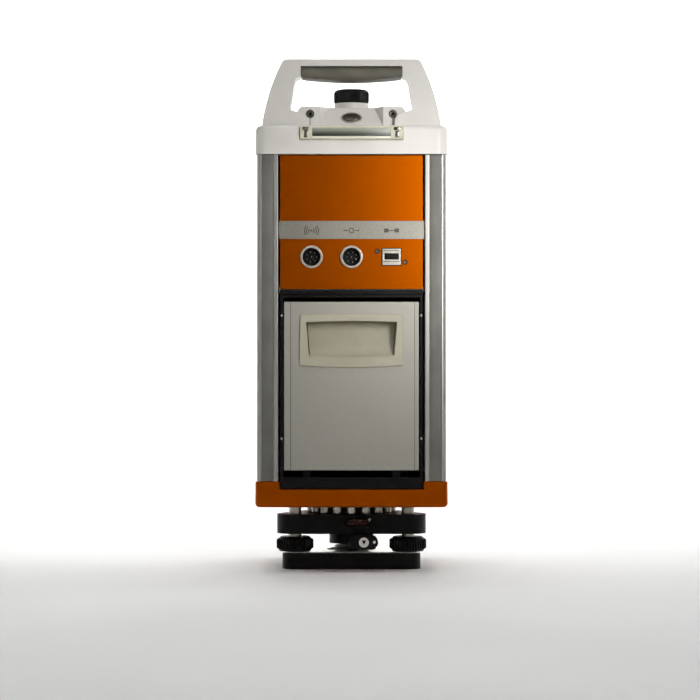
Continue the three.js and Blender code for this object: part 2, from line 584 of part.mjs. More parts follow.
// ---- optics and electronics ---------------------------------------------------------------------
function scanMirror() {
  const drum = turnedX(rod(MIRROR_RADIUS, -MIRROR_RADIUS, MIRROR_RADIUS), MIRROR_Y, MIRROR_Z);
  const face = turnedX(rod(MIRROR_RADIUS - 0.4, -MIRROR_RADIUS, MIRROR_RADIUS), MIRROR_Y, MIRROR_Z);
  const span = 2 * MIRROR_RADIUS;
  // A slab lying across the 45 degree plane through the mirror's centre; its upper side faces the beam.
  const slab = (low, high) => box(-span, span, -span, span, low, high).rotateY(-Math.PI / 4);
  const placed = (geometry) => geometry.translate(0, MIRROR_Y, MIRROR_Z);
  const hub = join(
    turnedX(rod(14, MIRROR_RADIUS - 1, 31), MIRROR_Y, MIRROR_Z, SMALL_ROUND),
    turnedX(rod(6, 30, 62), MIRROR_Y, MIRROR_Z, SMALL_ROUND),
  );
  add("mirror_rotor", join(cut(drum, placed(slab(-2 - GAP, span))), hub), "blackPaint");
  add("mirror_glass", meet(face, placed(slab(-2, 0))), "mirrorGlass");
}

function innerWorks() {
  add("mirror_motor", turnedX(tube(6.6, 22, 38, 66), MIRROR_Y, MIRROR_Z), "steel");
  const optics = join(
    box(-88, -49, 32, 81, 352, 418),
    turnedX(rod(24, -50, -37), MIRROR_Y, MIRROR_Z),
  );
  add("laser_module", optics, "aluminium");
  const chips = [[-45, 300, 22], [-8, 350, 30], [35, 385, 18], [-40, 385, 16]];
  const board = chips.map(([x, z, size]) => box(x, x + size, -84, -79, z, z + size));
  add("main_board", join(box(-64, 64, -86, -83.4, 294, 412), ...board), "circuitBoard");
  const [low, high] = [PANEL_SPLIT - 0.5, PANEL_SPLIT + 2.5];
  const wide = box(-91, 91, -81.5, 81.5, low, high);
  add("deck_plate", join(wide, box(-73, 73, -99, 99, low, high)), "aluminium");
}

tribrachLowerPlates();
tribrachBody();
footScrews();
lockKnob();
turntable();
baseTray();
posts();
sideCovers();
rearPanel();
batteryBay();
frontPanels();
mirrorBay();
topCover();
consoleBlock();
consoleScrews();
powerButton();
handleArch();
handleGrip();
antennaMount();
statusLight();
battery();
scanMirror();
innerWorks();

export default scanner;
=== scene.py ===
"""Looks for a terrestrial laser scanner: materials, rounded edges and small trim on its CAD frame."""

import json
import math

import bmesh
import bpy
from mathutils import Matrix, Vector


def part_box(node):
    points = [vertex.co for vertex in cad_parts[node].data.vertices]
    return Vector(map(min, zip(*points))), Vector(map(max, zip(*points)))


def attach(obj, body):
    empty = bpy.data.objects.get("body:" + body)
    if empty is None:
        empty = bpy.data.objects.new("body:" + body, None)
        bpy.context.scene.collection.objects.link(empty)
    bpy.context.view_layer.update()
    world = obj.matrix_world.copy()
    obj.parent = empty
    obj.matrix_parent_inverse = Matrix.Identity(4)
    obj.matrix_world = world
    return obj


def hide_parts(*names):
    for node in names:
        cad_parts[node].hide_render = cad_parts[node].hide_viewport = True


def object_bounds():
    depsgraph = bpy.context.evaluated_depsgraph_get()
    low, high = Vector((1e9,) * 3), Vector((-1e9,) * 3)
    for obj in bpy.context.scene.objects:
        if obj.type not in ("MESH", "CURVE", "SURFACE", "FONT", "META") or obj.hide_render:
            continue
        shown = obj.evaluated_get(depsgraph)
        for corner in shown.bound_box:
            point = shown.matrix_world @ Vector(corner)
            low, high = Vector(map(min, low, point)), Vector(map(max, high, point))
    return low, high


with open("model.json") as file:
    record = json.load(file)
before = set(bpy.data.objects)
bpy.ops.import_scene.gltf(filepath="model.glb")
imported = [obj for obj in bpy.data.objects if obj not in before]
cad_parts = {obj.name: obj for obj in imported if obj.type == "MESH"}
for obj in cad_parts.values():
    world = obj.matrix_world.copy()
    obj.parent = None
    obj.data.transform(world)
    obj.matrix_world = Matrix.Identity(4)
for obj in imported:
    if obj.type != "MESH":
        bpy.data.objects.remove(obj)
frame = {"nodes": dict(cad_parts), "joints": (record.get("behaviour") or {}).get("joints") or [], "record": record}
cad_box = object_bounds()
MM = 0.001


# ---- materials -------------------------------------------------------------------------------------------
def srgb(red, green, blue):
    """Linear colour with alpha from display values of 0 to 255."""
    shares = [value / 255 for value in (red, green, blue)]
    return (*[s / 12.92 if s <= 0.04045 else ((s + 0.055) / 1.055) ** 2.4 for s in shares], 1)


class Surface:
    """A Principled material whose colour, roughness and bump come from noise of sizes in millimetres."""

    def __init__(self, name, roughness, metallic=0.0, **sockets):
        self.material = bpy.data.materials.new(name)
        self.material.use_nodes = True
        self.nodes = self.material.node_tree.nodes
        self.links = self.material.node_tree.links
        self.shader = self.nodes["Principled BSDF"]
        self.shader.inputs["Metallic"].default_value = metallic
        self.shader.inputs["Roughness"].default_value = roughness
        for socket, value in sockets.items():
            self.shader.inputs[socket.replace("_", " ")].default_value = value
        self.place = self.nodes.new("ShaderNodeTexCoord").outputs["Object"]

    def noise(self, size, detail=3.0):
        """Noise whose features are about size millimetres, or (x, y, z) millimetres where it is stretched."""
        sizes = size if isinstance(size, tuple) else (size, size, size)
        mapping = self.nodes.new("ShaderNodeMapping")
        mapping.inputs["Scale"].default_value = [1 / (s * MM) for s in sizes]
        texture = self.nodes.new("ShaderNodeTexNoise")
        texture.inputs["Scale"].default_value = 1.0
        texture.inputs["Detail"].default_value = detail
        self.links.new(self.place, mapping.inputs["Vector"])
        self.links.new(mapping.outputs["Vector"], texture.inputs["Vector"])
        return texture.outputs["Fac"]

    def ramp(self, value, stops):
        """value turned into a colour by (position, colour) stops."""
        node = self.nodes.new("ShaderNodeValToRGB")
        elements = node.color_ramp.elements
        while len(elements) < len(stops):
            elements.new(0.5)
        for element, (position, colour) in zip(elements, stops):
            element.position = position
            element.color = colour
        self.links.new(value, node.inputs["Fac"])
        return node.outputs["Color"]

    def spread(self, value, low, high):
        """value, which is mostly 0.3 to 0.7 out of a noise, spread over low to high."""
        node = self.nodes.new("ShaderNodeMapRange")
        node.inputs["From Min"].default_value = 0.3
        node.inputs["From Max"].default_value = 0.7
        node.inputs["To Min"].default_value = low
        node.inputs["To Max"].default_value = high
        self.links.new(value, node.inputs["Value"])
        return node.outputs["Result"]

    def colour(self, value, dark, light, low=0.35, high=0.65):
        """Base colour from dark, where value is low, to light, where it is high."""
        colour = self.ramp(value, [(low, dark), (high, light)])
        self.links.new(colour, self.shader.inputs["Base Color"])
        return self

    def polish(self, value, low, high):
        """Roughness from low to high as value goes from low to high."""
        self.links.new(self.spread(value, low, high), self.shader.inputs["Roughness"])
        return self

    def bump(self, value, height):
        """Bump of about height millimetres."""
        node = self.nodes.new("ShaderNodeBump")
        node.inputs["Strength"].default_value = 0.6
        node.inputs["Distance"].default_value = height * MM
        self.links.new(value, node.inputs["Height"])
        self.links.new(node.outputs["Normal"], self.shader.inputs["Normal"])
        return self


# Blacks reflect little, so that they stay black beside the bright parts.
MATT = {"Specular_IOR_Level": 0.14}


def moulded(name, dark, light, roughness, grain, height, **sockets):
    """Moulded plastic: a faint cloudy tone, and spark-eroded grain."""
    surface = Surface(name, roughness, **sockets)
    surface.colour(surface.noise(38, 4.0), dark, light)
    surface.polish(surface.noise(9, 4.0), roughness - 0.06, roughness + 0.07)
    return surface.bump(surface.noise(grain, 2.0), height).material


def lined(name, dark, light, roughness, line, metallic, height=0.012, uneven=0.07):
    """Metal with fine lines: line is the (x, y, z) size of one streak, uneven the change of roughness."""
    surface = Surface(name, roughness, metallic)
    streaks = surface.noise(line, 5.0)
    surface.colour(streaks, dark, light, 0.3, 0.7)
    surface.polish(surface.noise(tuple(3 * s for s in line), 3.0), roughness - uneven, roughness + uneven)
    return surface.bump(streaks, height).material


def blasted(name, dark, light, roughness, metallic, grain=0.5):
    """Bead-blasted metal: an even fine speckle with a slow change of tone under it."""
    surface = Surface(name, roughness, metallic)
    speckle = surface.noise(grain, 2.0)
    surface.colour(speckle, dark, light, 0.25, 0.75)
    surface.polish(surface.noise(30, 3.0), roughness - 0.05, roughness + 0.06)
    return surface.bump(speckle, 0.02).material


def painted(name, dark, light, roughness):
    """Semi-matt paint with orange peel and slightly rubbed patches."""
    surface = Surface(name, roughness, **MATT)
    surface.colour(surface.noise(14, 5.0), dark, light, 0.3, 0.75)
    surface.polish(surface.noise(6, 5.0), roughness - 0.1, roughness + 0.12)
    return surface.bump(surface.noise(0.9, 2.0), 0.03).material


def stippled_rubber():
    surface = Surface("grip_rubber", 0.62)
    surface.colour(surface.noise(20, 4.0), srgb(82, 79, 68), srgb(94, 90, 78))
    surface.polish(surface.noise(5, 3.0), 0.55, 0.72)
    return surface.bump(surface.noise(0.7, 1.0), 0.07).material


def machined(name, dark, light, roughness):
    """Machined metal: fine even tool marks and a slow change of polish."""
    surface = Surface(name, roughness, 1.0)
    marks = surface.noise((0.5, 0.5, 0.2), 2.0)
    surface.colour(marks, dark, light)
    surface.polish(surface.noise(6, 2.0), roughness - 0.05, roughness + 0.05)
    return surface.bump(marks, 0.002).material


def clear_polycarbonate():
    """The status light's bar: a milky, slightly yellow plastic."""
    surface = Surface("clear_plastic", 0.08, Transmission_Weight=0.2, IOR=1.45)
    surface.colour(surface.noise(12, 3.0), srgb(212, 209, 186), srgb(222, 220, 198))
    surface.polish(surface.noise(4, 4.0), 0.05, 0.16)
    return surface.bump(surface.noise(6, 2.0), 0.02).material


def light_guide():
    """The status light's strip and channel, with painted shade: they darken from their bright upper edge to their
    lower one, as a concave channel is shaded.
    """
    surface = Surface("light_guide", 0.35)
    low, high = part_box("light_channel")
    split = surface.nodes.new("ShaderNodeSeparateXYZ")
    surface.links.new(surface.place, split.inputs["Vector"])
    height = surface.nodes.new("ShaderNodeMapRange")
    height.inputs["From Min"].default_value = low.z
    height.inputs["From Max"].default_value = high.z
    surface.links.new(split.outputs["Z"], height.inputs["Value"])
    # Painted shade: the colour goes from dark at the channel's lower edge to light at its upper edge.
    surface.colour(height.outputs["Result"], srgb(48, 54, 45), srgb(150, 153, 137), 0.25, 0.95)
    return surface.bump(surface.noise((2, 30, 30), 2.0), 0.05).material


def mirror_coating():
    surface = Surface("mirror_glass", 0.03, 1.0)
    surface.colour(surface.noise(8, 4.0), srgb(214, 222, 228), srgb(228, 234, 238))
    surface.polish(surface.noise(3, 4.0), 0.02, 0.06)
    return surface.material


def coated_window():
    surface = Surface("window_glass", 0.05, Transmission_Weight=0.5, IOR=1.5, Coat_Weight=0.6)
    surface.colour(surface.noise(25, 3.0), srgb(60, 52, 88), srgb(84, 74, 112))
    surface.polish(surface.noise(3, 3.0), 0.03, 0.08)
    return surface.material


def spirit():
    surface = Surface("level_glass", 0.06, Transmission_Weight=0.7, IOR=1.45)
    surface.colour(surface.noise(5, 2.0), srgb(190, 204, 110), srgb(210, 222, 140))
    surface.polish(surface.noise(2, 2.0), 0.03, 0.09)
    return surface.material


def circuit():
    surface = Surface("circuit_board", 0.4)
    traces = surface.noise((9, 9, 0.8), 2.0)
    surface.colour(traces, srgb(18, 62, 38), srgb(46, 104, 64), 0.45, 0.52)
    return surface.bump(traces, 0.05).material


def sparkling_label():
    """The label strip's silver film: coarse and fine flakes."""
    surface = Surface("label_film", 0.42, 0.75)
    surface.colour(surface.noise(0.8, 3.0), srgb(122, 119, 110), srgb(146, 144, 134), 0.3, 0.7)
    surface.polish(surface.noise(20, 2.0), 0.36, 0.46)
    return surface.bump(surface.noise(0.6, 2.0), 0.004).material


MATERIALS = {
    "cover_plastic": moulded("cover_plastic", srgb(199, 196, 190), srgb(204, 201, 195), 0.42, 0.8, 0.018),
    "orange_anodised": lined(
        "orange_anodised", srgb(153, 69, 0), srgb(158, 72, 0), 0.34, (30, 30, 0.35), 1.0, 0.001, 0.02
    ),
    "anodised_post": lined(
        "anodised_post", srgb(158, 156, 150), srgb(174, 172, 166), 0.34, (0.6, 0.6, 60), 0.8
    ),
    "bead_blasted": blasted("bead_blasted", srgb(147, 144, 135), srgb(163, 160, 151), 0.48, 0.55),
    "beige_plastic": moulded("beige_plastic", srgb(158, 153, 133), srgb(166, 162, 143), 0.4, 0.9, 0.012),
    "grip_rubber": stippled_rubber(),
    "black_paint": painted("black_paint", srgb(5, 4, 4), srgb(12, 10, 9), 0.4),
    "black_plastic": moulded("black_plastic", srgb(5, 4, 4), srgb(11, 9, 8), 0.46, 0.6, 0.02, **MATT),
    "steel": machined("steel", srgb(178, 173, 162), srgb(194, 190, 181), 0.34),
    "clear_plastic": clear_polycarbonate(),
    "light_guide": light_guide(),
    "white_mark": moulded("white_mark", srgb(224, 221, 214), srgb(236, 234, 228), 0.5, 0.6, 0.01),
    "mirror_glass": mirror_coating(),
    "window_glass": coated_window(),
    "level_rim": painted("level_rim", srgb(32, 6, 5), srgb(46, 9, 7), 0.36),
    "level_glass": spirit(),
    "circuit_board": circuit(),
}
LABEL_FILM = sparkling_label()
PALE_EDGE = moulded("pale_edge", srgb(214, 211, 190), srgb(224, 222, 203), 0.3, 0.8, 0.005)
DARK_METAL = machined("dark_metal", srgb(104, 100, 90), srgb(124, 120, 110), 0.24)
INLAY = moulded("post_inlay", srgb(92, 91, 85), srgb(104, 103, 96), 0.55, 0.7, 0.025)
LEGEND = moulded("legend_ink", srgb(52, 46, 40), srgb(66, 60, 52), 0.55, 0.5, 0.005)
# Near black, used both as painted shade in holes, mouths, creases and gaps, and as the colour of small dark parts:
# gaskets, washers, seams, keys and printed marks.
DARK_SHADE_AND_PARTS = moulded("dark_shade_and_parts", srgb(12, 11, 11), srgb(20, 19, 18), 0.6, 0.6, 0.01, **MATT)


# ---- carried CAD nodes: finish and rounded edges ---------------------------------------------------------
# Edge rounding in millimetres.
DEFAULT_EDGE = 0.35
EDGES = {
    "top_cover": 0.5, "base_tray": 0.5, "handle_arch": 3.0, "handle_grip": 3.0, "console": 1.0,
    "tribrach_body": 1.0, "tribrach_base_plate": 1.0, "lock_knob": 0.9, "antenna_cap": 0.8,
    "battery_case": 0.7, "battery_grip": 1.4, "corner_post_rear_left": 0.5, "corner_post_rear_right": 0.5,
    "corner_post_front_left": 0.5, "corner_post_front_right": 0.5, "tribrach_spring_plate": 0.2,
    "label_strip": 0.1, "lock_knob_mark": 0.15, "power_button": 0.5, "light_lens": 0.5,
}
SHARP = math.radians(28)
VENTED = ("front_panel", "side_cover_left", "side_cover_right")


def smooth_by_angle(mesh):
    """Shades a mesh smooth, with edges steeper than SHARP kept crisp."""
    mesh.shade_smooth()
    mesh.set_sharp_from_angle(angle=SHARP)


def round_edges(node, width):
    """Rounds the sharp edges. A vented sheet keeps its triangles, which keeps the bars of its vent whole."""
    weld = node.modifiers.new("weld", "WELD")
    weld.merge_threshold = 1e-6
    if node.name not in VENTED:
        flats = node.modifiers.new("flats", "DECIMATE")
        flats.decimate_type = "DISSOLVE"
        flats.angle_limit = math.radians(0.5)
    bevel = node.modifiers.new("edges", "BEVEL")
    bevel.width = width * MM
    bevel.segments = 3
    bevel.limit_method = "ANGLE"
    bevel.angle_limit = SHARP
    bevel.miter_outer = "MITER_ARC"
    normals = node.modifiers.new("normals", "WEIGHTED_NORMAL")
    normals.keep_sharp = False


for entry in frame["record"]["subparts"]:
    node = frame["nodes"][entry["node"]]
    node.data.materials.clear()
    node.data.materials.append(MATERIALS[entry["material_slot"]])
    smooth_by_angle(node.data)
    round_edges(node, EDGES.get(entry["node"], DEFAULT_EDGE))

OWN_FINISH = {
    "label_strip": LABEL_FILM, "power_button": DARK_METAL,
    "console_screw_left": DARK_METAL, "console_screw_right": DARK_METAL,
}
for name, material in OWN_FINISH.items():
    frame["nodes"][name].data.materials[0] = material


# ---- making pieces ---------------------------------------------------------------------------------------
def finish_piece(name, shape, material, body):
    """Turns a bmesh, drawn in the object's frame in millimetres, into a piece that rides on body."""
    bmesh.ops.scale(shape, vec=(MM, MM, MM), verts=shape.verts)
    bmesh.ops.recalc_face_normals(shape, faces=shape.faces)
    mesh = bpy.data.meshes.new(name)
    shape.to_mesh(mesh)
    shape.free()
    mesh.materials.append(material)
    smooth_by_angle(mesh)
    piece = bpy.data.objects.new(name, mesh)
    bpy.context.scene.collection.objects.link(piece)
    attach(piece, body)
    return piece


def frame_for(axis):
    """Turns a shape drawn round +Z so that its +Z points along axis: "x", "-y" and so on."""
    direction = {"x": (1, 0, 0), "y": (0, 1, 0), "z": (0, 0, 1)}[axis[-1]]
    sign = -1 if axis[0] == "-" else 1
    return (sign * Vector(direction)).to_track_quat("Z", "Y").to_matrix().to_4x4()


def placed(shape, axis, centre):
    """A shape drawn round +Z, turned so that its +Z points along axis, with its origin at centre."""
    bmesh.ops.transform(shape, matrix=Matrix.Translation(centre) @ frame_for(axis), verts=shape.verts)
    return shape


def around(count):
    """count angles, evenly spaced over one turn."""
    return [2 * math.pi * i / count for i in range(count)]


def join_rings(shape, rings):
    """Faces between each ring of vertices and the next. A ring of one vertex is a point."""
    for low, high in zip(rings, rings[1:]):
        for i in range(max(len(low), len(high))):
            j = i + 1
            corners = [low[i % len(low)], low[j % len(low)], high[j % len(high)], high[i % len(high)]]
            unique = [v for n, v in enumerate(corners) if v not in corners[:n]]
            shape.faces.new(unique)


def lathe(profile, segments=32, extra=None):
    """A turned shape from (radius, height) pairs that start and end on the axis, or close on themselves.

    extra(angle, radius) adds to the radius, for ribs and scallops.
    """
    shape = bmesh.new()
    rings = []
    for radius, height in profile:
        if radius == 0:
            rings.append([shape.verts.new((0, 0, height))])
            continue
        ring = []
        for angle in around(segments):
            reach = radius + (extra(angle, radius) if extra else 0)
            ring.append(shape.verts.new((reach * math.cos(angle), reach * math.sin(angle), height)))
        rings.append(ring)
    on_axis = profile[0][0] == 0
    join_rings(shape, rings if on_axis else rings + rings[:1])
    return shape


def slab(low, high, edge, segments=2):
    """A box between two corners with all its edges rounded."""
    shape = bmesh.new()
    bmesh.ops.create_cube(shape, size=1)
    size = Vector(high) - Vector(low)
    bmesh.ops.scale(shape, vec=size, verts=shape.verts)
    bmesh.ops.translate(shape, vec=(Vector(low) + Vector(high)) / 2, verts=shape.verts)
    bmesh.ops.bevel(
        shape, geom=shape.edges[:], offset=edge, segments=segments, profile=0.5, affect="EDGES"
    )
    return shape


def plate(outline, start, end):
    """A flat plate from an outline of (x, z) points, between two y planes."""
    shape = bmesh.new()
    face = shape.faces.new([shape.verts.new((x, start, z)) for x, z in outline])
    grown = bmesh.ops.extrude_face_region(shape, geom=[face])
    moved = [v for v in grown["geom"] if isinstance(v, bmesh.types.BMVert)]
    bmesh.ops.translate(shape, vec=(0, end - start, 0), verts=moved)
    return shape


def merged(shapes):
    """One bmesh that holds all the shapes."""
    whole = bmesh.new()
    for shape in shapes:
        copy = bpy.data.meshes.new("copy")
        shape.to_mesh(copy)
        shape.free()
        whole.from_mesh(copy)
        bpy.data.meshes.remove(copy)
    return whole


def in_mm(node):
    """The low and high corners of a CAD node's box, in millimetres."""
    low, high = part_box(node)
    return low / MM, high / MM


# ---- trim: casing ----------------------------------------------------------------------------------------
def screw_head(radius, height, socket=0.5):
    """A low domed head with a round recess of socket times its radius, standing on z = 0."""
    rim = socket * radius
    profile = [
        (0, 0), (radius, 0), (radius, 0.4 * height), (0.8 * radius, 0.9 * height), (1.15 * rim, height),
        (rim, 0.92 * height), (0.9 * rim, 0.3 * height), (0, 0.3 * height),
    ]
    return lathe(profile, 24)


def add_screw(name, radius, height, axis, centre):
    shape = placed(screw_head(radius, height), axis, centre)
    finish_piece(name, shape, MATERIALS["steel"], "head")


def post_inlays():
    """The grey strip set into the outward face of each corner post."""
    width, thickness, sunk, margin = 11.4, 1.2, 0.1, 0.4
    lowest_x = {"left": -89.7, "right": 78.3}
    for end, sign in (("rear", -1), ("front", 1)):
        for side in ("left", "right"):
            low, high = in_mm(f"corner_post_{end}_{side}")
            face = low.y if sign < 0 else high.y
            x = lowest_x[side]
            y0, y1 = sorted((face - sign * sunk, face - sign * (sunk + thickness)))
            shape = slab((x, y0, low.z + margin), (x + width, y1, high.z - margin), 0.25)
            finish_piece(f"post_inlay_{end}_{side}", shape, INLAY, "head")


def casing_screws():
    """The screws of the battery bay, the side covers, the front panel and the front arms."""
    bay_face = in_mm("connector_panel")[0].y
    bay_screw_x, bay_screw_heights = 69.9, (("low", 135.8), ("high", 259))
    for side, sign in (("left", -1), ("right", 1)):
        for level, z in bay_screw_heights:
            add_screw(f"bay_screw_{side}_{level}", 1.25, 0.8, "-y", (sign * bay_screw_x, bay_face, z))
    inset_y, inset_z = 6, 8
    for side, axis in (("left", "-x"), ("right", "x")):
        low, high = in_mm(f"side_cover_{side}")
        face = low.x if side == "left" else high.x
        for i, y in enumerate((low.y + inset_y, high.y - inset_y)):
            for j, z in enumerate((low.z + inset_z, (low.z + high.z) / 2, high.z - inset_z)):
                add_screw(f"side_screw_{side}_{i}_{j}", 2.6, 1.0, axis, (face, y, z))
    low, high = in_mm("front_panel")
    for side, x in (("left", low.x + 6), ("right", high.x - 6)):
        for level, z in (("low", low.z + 14), ("high", high.z - 7)):
            add_screw(f"front_screw_{side}_{level}", 2.4, 1.0, "y", (x, high.y, z))
    for side in ("left", "right"):
        low, high = in_mm(f"arm_front_{side}")
        x = (low.x + high.x) / 2
        for level, z in (("low", low.z + 8), ("high", high.z - 8)):
            add_screw(f"arm_screw_{side}_{level}", 2.4, 1.0, "y", (x, high.y, z))


def vent_shade_pads():
    """A dark pad behind the slots of each side cover: painted shade for the shadowed inside of the casing seen
    through the slots.
    """
    gap, thickness = 0.4, 1.8
    y_range, z_range = (4, 72), (114, 171)
    for side, sign in (("left", -1), ("right", 1)):
        low, high = in_mm(f"side_cover_{side}")
        inner = high.x if side == "left" else low.x
        x0, x1 = sorted((inner - sign * gap, inner - sign * (gap + thickness)))
        # Painted shade: a near black pad stands for the shade inside the casing behind the vents.
        pad = slab((x0, y_range[0], z_range[0]), (x1, y_range[1], z_range[1]), 0.4)
        finish_piece(f"vent_shade_pad_{side}", pad, DARK_SHADE_AND_PARTS, "head")


# ---- trim: sockets and legends ---------------------------------------------------------------------------
def socket_pins():
    """Seven pins in a ring and one in the middle of each round socket, and the key above them."""
    count, circle, pin_radius = 7, 5, 0.55
    for place, turn in (("left", 0.0), ("middle", math.pi / count)):
        low, high = in_mm(f"socket_insert_{place}")
        centre = (low + high) / 2
        root = low.y + 0.2
        pins = []
        for angle in around(count):
            x = centre.x + circle * math.cos(turn + angle)
            z = centre.z + circle * math.sin(turn + angle)
            pin = lathe([(0, 0), (pin_radius, 0), (pin_radius, 3.2), (0.3, 3.8), (0, 3.8)], 12)
            pins.append(placed(pin, "-y", (x, root, z)))
        middle = lathe([(0, 0), (pin_radius, 0), (pin_radius, 3.2), (0, 3.8)], 12)
        pins.append(placed(middle, "-y", (centre.x, root, centre.z)))
        finish_piece(f"socket_pins_{place}", merged(pins), MATERIALS["steel"], "head")
        key_low = (centre.x - 1.2, low.y - 4.5, centre.z + 6.6)
        key_high = (centre.x + 1.2, low.y + 0.3, centre.z + 8.8)
        key = slab(key_low, key_high, 0.3)
        finish_piece(f"socket_key_{place}", key, DARK_SHADE_AND_PARTS, "head")


def usb_details():
    """The square socket's tongue, its mouth and folds darkened with painted shade, its gasket, and its two flange
    screws.
    """
    low, high = in_mm("usb_socket")
    x, z = (low.x + high.x) / 2, (low.z + high.z) / 2
    tongue = slab((x - 6, low.y + 1.2, z + 0.4), (x + 6, low.y + 11.6, z + 2.4), 0.2)
    finish_piece("usb_tongue", tongue, DARK_SHADE_AND_PARTS, "head")
    # Painted shade: a dark sheet in the socket's mouth stands for the shadowed opening.
    mouth = slab((x - 6.9, low.y + 0.1, z - 2.4), (x + 6.9, low.y + 0.9, z + 3.2), 0.1)
    finish_piece("usb_mouth_shade", mouth, DARK_SHADE_AND_PARTS, "head")
    # Painted shade: thin dark strips along the shell's folds stand for the shade in the creases.
    for name, z0 in (("top", high.z - 2.2), ("bottom", low.z + 3.4)):
        fold = slab((low.x + 0.9, low.y - 0.1, z0), (high.x - 0.9, low.y + 0.1, z0 + 0.5), 0.06, 1)
        finish_piece(f"usb_fold_shade_{name}", fold, DARK_SHADE_AND_PARTS, "head")
    face = in_mm("connector_panel")[0].y
    seat, rim, washer_height = face - 0.02, 0.8, 0.3
    outline = rectangle(low.x - rim, high.x + rim, low.z - rim, high.z + rim)
    finish_piece("usb_gasket", plate(outline, face - 0.35, seat), DARK_SHADE_AND_PARTS, "head")
    for name, screw_x, screw_z in (("left", low.x - 5.2, z + 5.6), ("right", high.x + 4.3, z - 5.1)):
        washer = lathe([(0, 0), (2.6, 0), (2.6, washer_height), (0, washer_height)], 28)
        washer = placed(washer, "-y", (screw_x, seat, screw_z))
        finish_piece(f"usb_washer_{name}", washer, DARK_SHADE_AND_PARTS, "head")
        shape = placed(screw_head(2.0, 1.0, 0.6), "-y", (screw_x, face - washer_height, screw_z))
        finish_piece(f"usb_screw_{name}", shape, DARK_METAL, "head")


def arc_band(radius, width, start, end, steps=12):
    """Outline of a ring segment in (x, z), angles in degrees."""
    angles = [math.radians(start + (end - start) * i / steps) for i in range(steps + 1)]
    outer = [((radius + width) * math.cos(a), (radius + width) * math.sin(a)) for a in angles]
    inner = [(radius * math.cos(a), radius * math.sin(a)) for a in reversed(angles)]
    return outer + inner


def rectangle(x0, x1, z0, z1):
    """Outline of a rectangle in (x, z)."""
    return [(x0, z0), (x1, z0), (x1, z1), (x0, z1)]


def legends():
    """Plain pictograms over the three sockets: waves, a ring between two bars, and two joined blocks."""
    low, high = in_mm("label_strip")
    level = low.z + 0.47 * (high.z - low.z)
    rear, front = low.y + 0.05, low.y - 0.12
    waves = [arc_band(r, 0.9, -42, 42) for r in (2.2, 4.4, 6.6)]
    waves += [[(-x, z) for x, z in outline] for outline in waves] + [arc_band(0.01, 1.0, 0, 359)]
    ring = [arc_band(1.9, 0.9, 0, 179), arc_band(1.9, 0.9, 180, 359)]
    ring += [rectangle(-8, -4, -0.5, 0.5), rectangle(4, 8, -0.5, 0.5)]
    blocks = [rectangle(-7.5, -3, -2, 2), rectangle(3, 7.5, -2, 2), rectangle(-3.2, 3.2, -0.45, 0.45)]
    for name, x, outlines in (("waves", -40, waves), ("ring", 0, ring), ("blocks", 40, blocks)):
        shapes = [plate([(x + a, level + b) for a, b in outline], front, rear) for outline in outlines]
        finish_piece(f"legend_{name}", merged(shapes), LEGEND, "head")


# ---- trim: roof ------------------------------------------------------------------------------------------
def roof_details():
    """Seams under the console's screws, flat dark discs on the screws as painted shade of their sockets, and ribs
    round the antenna cap.
    """
    face = in_mm("console")[0].y
    lens_top = in_mm("light_lens")[1].z
    seam_half = 0.35
    for side in ("left", "right"):
        low, high = in_mm(f"console_screw_{side}")
        x = (low.x + high.x) / 2
        seam_low = (x - seam_half, face - 0.05, lens_top + 0.4)
        seam_high = (x + seam_half, face + 0.4, low.z + 0.4)
        seam = slab(seam_low, seam_high, 0.08, 1)
        finish_piece(f"console_seam_{side}", seam, DARK_SHADE_AND_PARTS, "head")
        # Painted shade: a flat dark disc stands for the shadowed hex socket of each screw.
        hex_socket_shade = lathe([(0, 0), (1.5, 0), (1.5, 0.15), (0, 0.15)], 6)
        hex_socket_shade = placed(hex_socket_shade, "-y", (x, low.y, (low.z + high.z) / 2))
        finish_piece(f"console_key_hole_{side}", hex_socket_shade, DARK_SHADE_AND_PARTS, "head")
    low, high = in_mm("antenna_cap")
    radius = (high.x - low.x) / 2
    ribs, rib_height = 60, 0.22
    inner, outer = radius - 0.2, radius + 0.15
    profile = [(inner, low.z + 1), (outer, low.z + 1.4), (outer, high.z - 3.2), (inner, high.z - 2.8)]
    shape = lathe(profile, 4 * ribs, lambda angle, _: rib_height * math.cos(ribs * angle))
    finish_piece("antenna_cap_ribs", shape, MATERIALS["black_plastic"], "antenna_cap")


def status_light_details():
    """The status light's strip on the bar's face, coloured with painted shade that darkens it downwards, the pale
    edge below it, and the screw in each end block.
    """
    low, high = in_mm("light_lens")
    half = 39.2
    strip = slab((-half, low.y - 0.25, low.z + 3.4), (half, low.y + 0.3, high.z - 2.6), 0.2)
    finish_piece("light_strip", strip, MATERIALS["light_guide"], "head")
    edge = slab((-half, low.y - 0.3, low.z + 1.6), (half, low.y + 1.6, low.z + 3.1), 0.4)
    finish_piece("light_edge", edge, PALE_EDGE, "head")
    head_half, shank_half = 3.3, 1.8
    for side in ("left", "right"):
        screw_low, screw_high = in_mm(f"lens_screw_{side}")
        x = (screw_low.x + screw_high.x) / 2
        head_low = (x - head_half, low.y - 0.3, high.z - 5.2)
        head = slab(head_low, (x + head_half, low.y + 0.6, high.z - 1.9), 0.5)
        finish_piece(f"light_screw_head_{side}", head, DARK_METAL, "head")
        shank_low = (x - shank_half, low.y - 0.25, low.z + 2.2)
        shank = slab(shank_low, (x + shank_half, low.y + 0.6, high.z - 5.6), 0.4)
        finish_piece(f"light_screw_shank_{side}", shank, DARK_METAL, "head")


